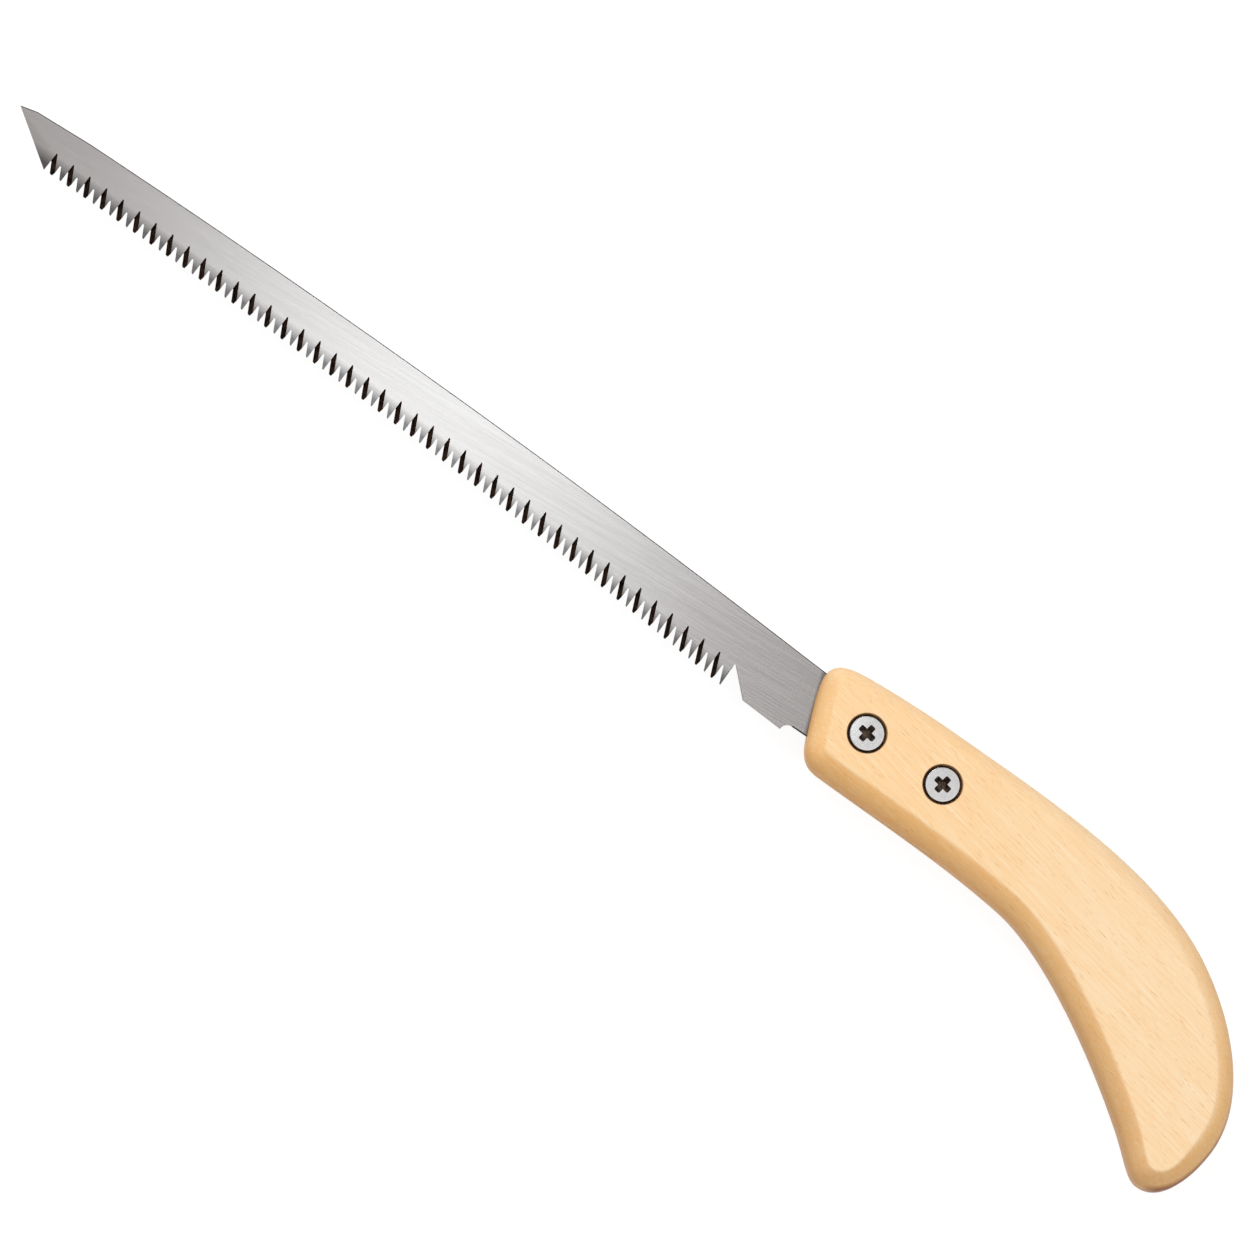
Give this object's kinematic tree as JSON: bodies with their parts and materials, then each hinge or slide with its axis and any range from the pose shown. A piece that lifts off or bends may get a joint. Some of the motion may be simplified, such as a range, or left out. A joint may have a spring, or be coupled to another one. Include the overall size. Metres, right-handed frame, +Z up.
{
  "type": "pruning saw",
  "caption": "Hand pruning saw with a long curved pull-cut blade, screwed into the kerf of a curved one-piece wooden pistol-grip handle.",
  "frame": {"origin": "on the flat back face of the handle, midway between the two screws", "axes": "+X along the saw from the nose of the blade towards the handle, teeth towards -Y, +Z up out of the face with the screw heads"},
  "size_m": [0.4318, 0.0768, 0.021],
  "materials": {
    "beech": "sanded pale beech under a clear satin lacquer",
    "saw_steel": "fine lengthwise grind, tooth flanks ground and heat darkened",
    "plated_steel": "bright nickel plate",
    "blackened_steel": "black oxide"
  },
  "bodies": {
    "saw": {"handle": "beech", "saw_blade": "saw_steel", "front_nut": "plated_steel", "rear_nut": "plated_steel"},
    "front_washer": {"front_washer": "blackened_steel"},
    "front_screw": {"front_screw": "plated_steel"},
    "rear_washer": {"rear_washer": "blackened_steel"},
    "rear_screw": {"rear_screw": "plated_steel"}
  },
  "joints": [
    {"name": "front_screw_turn", "type": "hinge", "parent": "saw", "child": "front_washer", "pos_m": [-0.0125, 0, 0.0174], "axis": [0, 0, 1], "range_deg": [0, 1710]},
    {"name": "front_screw_lift", "type": "slide", "parent": "front_washer", "child": "front_screw", "axis": [0, 0, 1], "range_m": [0, 0.0038]},
    {"name": "rear_screw_turn", "type": "hinge", "parent": "saw", "child": "rear_washer", "pos_m": [0.0125, 0, 0.0174], "axis": [0, 0, 1], "range_deg": [0, 1710]},
    {"name": "rear_screw_lift", "type": "slide", "parent": "rear_washer", "child": "rear_screw", "axis": [0, 0, 1], "range_m": [0, 0.0038]}
  ],
  "couplings": [
    {"joint": "front_screw_turn", "follows": "front_screw_lift", "rad_per_m": 7853.9},
    {"joint": "rear_screw_turn", "follows": "rear_screw_lift", "rad_per_m": 7853.9}
  ]
}
